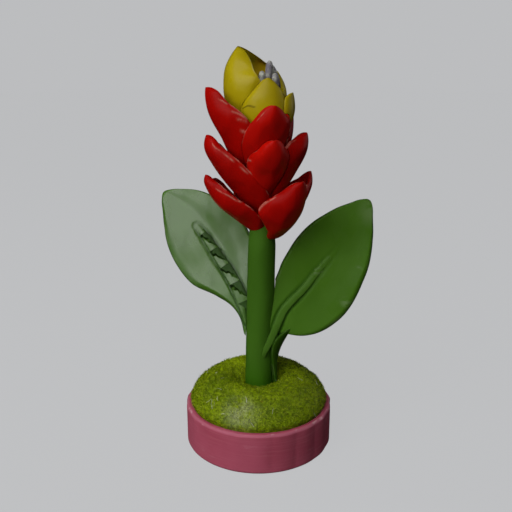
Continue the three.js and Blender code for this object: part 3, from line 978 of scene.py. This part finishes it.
def dish_form():
    """The dish with faint flats round its wall, and dents and dips along its rim."""
    form = turned(dish_profile(), DISH_SIDES)
    x, y, z = form.corners.T
    radius = np.hypot(x, y)
    turn = np.arctan2(y, x)
    outside = ramped(radius, *OUTER_WALL) * ramped(z, *FOOT_FADE)
    depth = FLATS["left"] + FLATS["more_right"] * ramped(x, *RIGHT_HALF)
    flats = depth * (np.abs(np.sin(FLATS["count"] * turn + FLATS["turn"])) - FLATS["middle"])
    dents = waver(form, *DENTS) * ramped(z, *DENTED)
    scale = 1 + (outside * (flats - FLATS["inwards"]) + dents * outside) / np.maximum(radius, 1)
    form.corners[:, 0] *= scale
    form.corners[:, 1] *= scale
    form.corners[:, 2] += ramped(z, *RIM_TOP) * (waver(form, *RIM_DIPS) - RIM_LOWERED)
    away = (z - PALE_BEVEL["height"]) / PALE_BEVEL["width"]
    form.marks = {"bevel": np.exp(-away ** 2) * ramped(radius, *PALE_FROM)}
    return form


def moss_profile(steps):
    """Radii and heights of the cushion's top, from the dish's wall to the dip at the stem."""
    pairs = np.array([(MOSS_WALL, DISH["height"] + GAP), *MOSS_DOME], float)
    radius, height = spline(pairs[:, 0]), spline(pairs[:, 1])
    t = np.linspace(0, 1, steps)
    return np.stack([radius(t), height(t)], -1)


def moss_lift(points):
    """Waves of the cushion, as in the solids, and its finer lumps."""
    x, y, z = points.T
    share = np.clip((z - DISH["height"] - WAVES["clear"]) * WAVES["growth"], 0, 1)
    wave = (np.sin(WAVES["x"] * x + 1) * np.cos(WAVES["y"] * y)
            + WAVES["slant_share"] * np.sin(WAVES["slant"] * (x - y)))
    lumps = sum(height * uneven(points, pitch, seed) for height, pitch, seed in LUMPS)
    return share * WAVES["height"] * wave + ramped(z, DISH["height"], LUMPY_OVER) * lumps


def moss_form():
    base = DISH["floor"] + GAP
    corner = DISH["inner_round"]
    dome = moss_profile(MOSS_ROWS)
    profile = [
        (0, base),
        *arc(MOSS_WALL - corner, base + corner, corner, -90, 0, MOSS_ROUND_STEPS),
        (MOSS_WALL, DISH["height"] - RIM_STRAIGHT),
        *dome,
        (MOSS_EYE, dome[-1, 1]),
        (0, dome[-1, 1]),
    ]
    form = turned(profile, MOSS_SIDES)
    form.corners[:, 2] += moss_lift(form.corners)
    return form


def moss_points(sizes, rng):
    """Random places on the cushion's top, evenly spread, with their normals."""
    count = sizes["count"]
    line = moss_profile(MOSS_PLACES)
    steps = np.linalg.norm(np.diff(line, axis=0), axis=1) * (line[1:, 0] + line[:-1, 0]) / 2
    steps[line[1:, 0] < sizes["inner"]] = 0
    reached = np.concatenate([[0], np.cumsum(steps)])
    place = np.interp(rng.uniform(0, reached[-1], count), reached, np.arange(len(line)))
    i = np.clip(place.astype(int), 0, len(line) - 2)
    share = (place - i)[:, None]
    pair = line[i] * (1 - share) + line[i + 1] * share
    slope = line[i + 1] - line[i]
    turn = rng.uniform(0, 2 * np.pi, count)
    up = np.array([0, 0, 1])
    out = np.stack([np.cos(turn), np.sin(turn), 0 * turn], -1)
    points = out * pair[:, :1] + up * pair[:, 1:]
    normal = unit(out * slope[:, 1:] - up * slope[:, :1])
    normal *= np.sign(np.sum(normal * (out + up), -1, keepdims=True))
    points[:, 2] += moss_lift(points)
    return points, normal


def strands(points, normal, sizes, rng):
    """Thin curved strips that start in the surface: corners, triangles and quads."""
    count = len(points)
    length = rng.uniform(*sizes["length"], (count, 1))
    width = rng.uniform(*sizes["width"], (count, 1))
    rise = rng.uniform(*sizes["rise"], (count, 1))
    side = unit(np.cross(normal, rng.normal(size=(count, 3))))
    ahead = unit(side + normal * rise)
    across = unit(np.cross(ahead, normal + STRAND["twist"] * rng.normal(size=(count, 3))))
    sway = length * rng.uniform(-STRAND["sway"], STRAND["sway"], (count, 1))
    bend = unit(across + STRAND["lift"] * normal) * sway
    half = across * width / 2
    low = points - normal * STRAND["sunk"]
    mid = low + ahead * length / 2 + bend
    tip = low + ahead * length + bend * STRAND["end_sway"]
    corners = np.stack([low - half, low + half, mid - half, mid + half, tip], 1).reshape(-1, 3)
    start = STRAND_CORNERS * np.arange(count)[:, None]
    return corners, start + np.array([[2, 3, 4]]), start + np.array([[0, 1, 3, 2]])


def fibres(sizes):
    """Fibres over the moss, but not where the sheath enters it."""
    rng = np.random.default_rng(sizes["seed"])
    points, normal = moss_points(sizes, rng)
    clear = np.hypot(*(points[:, :2] - SHEATH_FOOT).T) > sizes["clear"]
    points, normal = points[clear], normal[clear]
    strips = strands(points + normal * sizes["above"], normal, sizes, rng)
    if not sizes["shaded"]:
        return Form(*strips)
    return Form(*strips, {"shade": np.repeat(rng.uniform(0, 1, len(points)), STRAND_CORNERS)})


def set_leaf_marks(form, **marks):
    """Gives a form all the marks of a leaf, with 0 for those that aren't named."""
    blank = np.zeros(len(form.corners))
    form.marks.update({name: blank + marks.get(name, 0) for name in LEAF_MARKS})


def pushed_back(form, sizes, amount):
    way = unit(np.array(sizes["facing"], float))
    return form.with_corners(form.corners - way * amount[:, None])


def leaf_blade(sizes, seed):
    """Leaf blade with a groove beside its midrib, side veins and a rolled rim."""
    wanted = {**LEAF, "half_width": sizes["half_width"], "thickness": sizes["thickness"]}
    form = flat_blade(wanted, sizes["centre"], sizes["facing"], LEAF_GRID)
    along, across = form.marks["along"], form.marks["across"]
    away = rib_distance(form, sizes) - CREASE["away"] - waver(form, *CREASE_WAVER, seed)
    crease = groove_depth(form, sizes) * np.exp(-(away / CREASE["width"]) ** 2)
    rim = rim_share(form, sizes)
    # The mark of the creases deepens them and paints shade in them
    set_leaf_marks(form, crease=crease, vein=leaf_veins(along, across), rim=rim)
    drop = RIM_DROP * rim ** 2 + GROOVE_DEPTH * crease
    return pushed_back(form, sizes, drop).moved(waver(form, *LEAF_WAVER, seed + 1))


def rim_share(form, sizes):
    """1 on the rolled rim of a leaf, 0 further in; the rim is broader on one side."""
    across = form.marks["across"]
    rim = np.where(across * sizes["rim_side"] > 0, sizes["rim_wide"], RIM_THIN)
    return ramped(np.abs(across), 1 - rim, rim) * ramped(form.marks["along"], *RIM_FADE)


def rib_distance(form, sizes):
    """How far each corner lies outside the midrib's side faces, in the leaf's own plane."""
    spine = Curve(sizes["rib"])
    half = spline(sizes["rib_half"])
    way = unit(np.array(sizes["facing"], float))
    steps = np.linspace(0, 1, CURVE_STEPS)
    away = np.full(len(form.corners), FAR)
    for centre, size in zip(spine.at(steps), half(steps)):
        offset = form.corners - centre
        offset = offset - way * (offset @ way)[:, None]
        away = np.minimum(away, np.linalg.norm(offset, axis=1) - size)
    return np.where(form.marks["inner"] > 0.5, away, FAR)


def groove_depth(form, sizes):
    """Share of the full depth of the grooves beside a midrib, which fade out at its tip."""
    away = np.linalg.norm(form.corners - np.array(sizes["rib"][-1]), axis=1)
    return sizes["groove"] * np.clip(away / sizes["fade"], 0, 1)


def leaf_veins(along, across):
    """Shallow side veins that sweep from the midrib to the margin."""
    sweep = along * VEINS["count"] - np.abs(across) * VEINS["sweep"]
    return 1 - np.abs(np.sin(np.pi * sweep)) ** VEINS["sharp"]


def flaps(form, seed):
    """Ragged flaps, one after another along a midrib: their share, and their slope from 0 to 1."""
    slope = form.marks["along"] * FLAPS % 1
    height = FLAP_SLANT * slope + form.marks["across"] + waver(form, *FLAP_WAVER, seed)
    return np.where(form.marks["inner"] > 0.5, ramped(height, *FLAP_START), 0), slope


def leaf_rib(sizes, seed):
    """Midrib that sinks towards its tip, with raised flaps where it is torn."""
    wanted = {**RIB, "half_width": sizes["rib_half"]}
    form = flat_blade(wanted, sizes["rib"], sizes["facing"], RIB_GRID)
    depth = groove_depth(form, sizes)
    # Painted shade on the midrib's sides, beside the grooves
    side = depth * ramped(np.abs(form.marks["across"]), *RIB_SIDE)
    share, slope = flaps(form, seed)
    torn = sizes["torn"] * share
    set_leaf_marks(form, crease=side, rib=1, flap=torn, lift=torn * slope)
    sink = RIB_SINK * (1 - depth) - FLAP_HEIGHT * form.marks["lift"]
    return pushed_back(form, sizes, sink).moved(waver(form, *RIB_WAVER, seed))


def sheath_form():
    form = blade({**sized(SHEATH), **keel_spine(SHEATH)}, *SHEATH_GRID)
    # Painted shade over the whole sheath
    set_leaf_marks(form, crease=SHEATH_PAINTED_SHADE)
    return form


def blunted(form):
    """The form with its tip drawn in, so that it ends round instead of in a corner."""
    share = ramped(form.marks["along"], TIP_START, 1 - TIP_START)
    middle = form.corners[share > 0].mean(0)
    inwards = (middle - form.corners) * (TIP_PULL * share ** 2)[:, None]
    return form.with_corners(form.corners + inwards)


def head_forms():
    """Fine and coarse form of every piece of the flower head, outermost first."""
    for slot, group, common in (("bract", BRACTS, BRACT), ("petal", PETALS, PETAL)):
        for name, sizes in group.items():
            shape = {**sized({**common, **sizes}), **keel_spine(sizes)}
            fine = blade(shape, *BRACT_GRID)
            yield name, slot, blunted(fine) if slot == "bract" else fine, blade(shape, *CUT_GRID)
    for name, path in STAMENS.items():
        form = flat_blade(STAMEN, path, STAMEN_FACING, ROD_GRID)
        yield name, "stamen", form, form


def worn_and_highlit_lines(form, lines):
    """1 where a corner of the outer face lies on one of the lines, 0 away from them."""
    place = np.stack([form.marks["along"], form.marks["across"]], -1) * LINE_SCALE
    worn_and_highlit = np.zeros(len(place))
    for line in lines:
        points = np.array(line) * LINE_SCALE
        for start, end in zip(points[:-1], points[1:]):
            way = end - start
            share = np.clip((place - start) @ way / (way @ way), 0, 1)
            apart = np.linalg.norm(place - start - share[:, None] * way, axis=1)
            worn_and_highlit = np.maximum(worn_and_highlit, np.exp(-(apart / LINE_WIDTH) ** 2))
    return np.where(form.marks["inner"] < 0.5, worn_and_highlit, 0)


def make_head(stem):
    looks = {"bract": bract_material(), "petal": petal_material(), "stamen": stamen_material()}
    taken = [stem.moved(GAP)]
    for seed, (name, slot, fine, coarse) in enumerate(head_forms()):
        fine, coarse = (form.with_corners(form.corners + HEAD_SHIFT) for form in (fine, coarse))
        fine.marks["wear_and_highlight"] = worn_and_highlit_lines(fine, WORN_AND_HIGHLIT_LINES.get(name, []))
        # Painted light: how much lighter red this bract is painted
        fine.marks["painted_light"] = np.full(len(fine.corners), PAINTED_LIGHT_BRACTS.get(name, 0))
        soft = fine.moved(waver(fine, *HEAD_WAVER, seed))
        cuts = [("DIFFERENCE", other) for other in taken if touches(soft, other)]
        piece = combined(name, soft, cuts)
        mark(piece, soft)
        dressed(piece, name, slot, looks[slot])
        taken.append(coarse.moved(GAP))


def make_leaves(stem):
    space = stem.moved(GAP)
    for i, (name, sizes) in enumerate(LEAVES.items()):
        forms = [leaf_blade(sizes, LEAF_SEED + i), leaf_rib(sizes, RIB_SEED + i)]
        if name == "leaf_right":
            forms.append(sheath_form())
        joined = [("UNION", form) for form in forms[1:]]
        piece = combined(name, forms[0], [*joined, ("DIFFERENCE", space)])
        mark(piece, gathered(forms))
        dressed(piece, name, "leaf", leaf_material("green_" + name, sizes["shine"]), sharp=50)


def gathered(forms):
    """The corners and marks of several forms as one."""
    marks = {key: np.concatenate([form.marks[key] for form in forms]) for key in forms[0].marks}
    return Form(np.vstack([form.corners for form in forms]), [], [], marks)


def make_stem(stem):
    piece = made("stem_rod", stem.moved(waver(stem, *STEM_WAVER)))
    dressed(piece, "stem", "stem", stem_material())


def make_dish():
    form = dish_form()
    dish = made("dish_body", form)
    mark(dish, form)
    dressed(dish, "dish", "dish", dish_material(), sharp=60)


def make_moss(stem):
    spaces = [("DIFFERENCE", taken.moved(GAP)) for taken in (stem, sheath_form())]
    moss = combined("moss_cushion", moss_form(), spaces)
    dressed(moss, "moss", "moss", moss_material(), sharp=180)


def make_fibres(name, sizes, material):
    form = fibres(sizes)
    piece = made(name, form)
    carry(piece, form.marks)
    dressed(piece, None, "moss", material, sharp=180)


# Stage

def make_camera():
    data = bpy.data.cameras.new("camera")
    data.lens = LENS
    data.sensor_width = SENSOR
    camera = linked("camera", data)
    tilt = math.radians(CAMERA["elevation"])
    target = Vector(CAMERA["target"]) * MM
    away = Vector((0, -math.cos(tilt), math.sin(tilt))) * CAMERA["distance"] * MM
    camera.location = target + away
    camera.rotation_euler = (math.pi / 2 - tilt, 0, 0)
    bpy.context.scene.camera = camera


def area_light(name, towards, **settings):
    """A soft rectangular light, one metre away in the given direction."""
    data = bpy.data.lights.new(name, "AREA")
    data.shape = "RECTANGLE"
    for key, value in settings.items():
        setattr(data, key, value)
    light = linked(name, data)
    direction = Vector(towards).normalized()
    light.location = direction + Vector(LIGHT_AIM)
    light.rotation_euler = direction.to_track_quat("Z", "Y").to_euler()
    return light


def grey_stage():
    """Pale floor and a round backdrop of the same plain grey."""
    look = Nodes("stage_grey").shaded(STAGE_LOOK)
    rows = arc(0, -DOME_SUNK, STAGE_RADIUS, 0, 90, DOME_ROWS)
    dome = [(0, -DOME_SUNK), *rows[:-1], (0, STAGE_RADIUS - DOME_SUNK)]
    for name, profile in (("floor", FLOOR), ("backdrop", dome)):
        piece = made(name, turned(profile, STAGE_SIDES))
        piece.data.materials.append(look)
        for ray in ("diffuse", "glossy", "shadow"):
            setattr(piece, "visible_" + ray, False)


def make_light():
    """One large soft light high on the front left, and hardly any light from elsewhere."""
    world = bpy.data.worlds.new("world")
    world.use_nodes = True
    ground = world.node_tree.nodes["Background"]
    ground.inputs["Color"].default_value = (1, 1, 1, 1)
    ground.inputs["Strength"].default_value = AMBIENT
    bpy.context.scene.world = world
    world.cycles_visibility.glossy = False
    area_light("key", **KEY)
    area_light("fill_left", **FILL_LEFT).visible_glossy = False
    area_light("rim_right", **RIM_RIGHT).visible_diffuse = False
    bpy.context.scene.view_settings.view_transform = "Standard"


make_camera()
stem = stem_form()
make_stem(stem)
make_dish()
make_moss(stem)
make_fibres("moss_fibres", FIBRES, fibre_material())
make_fibres("moss_strays", STRAYS, stray_material())
make_leaves(stem)
make_head(stem)
grey_stage()
make_light()
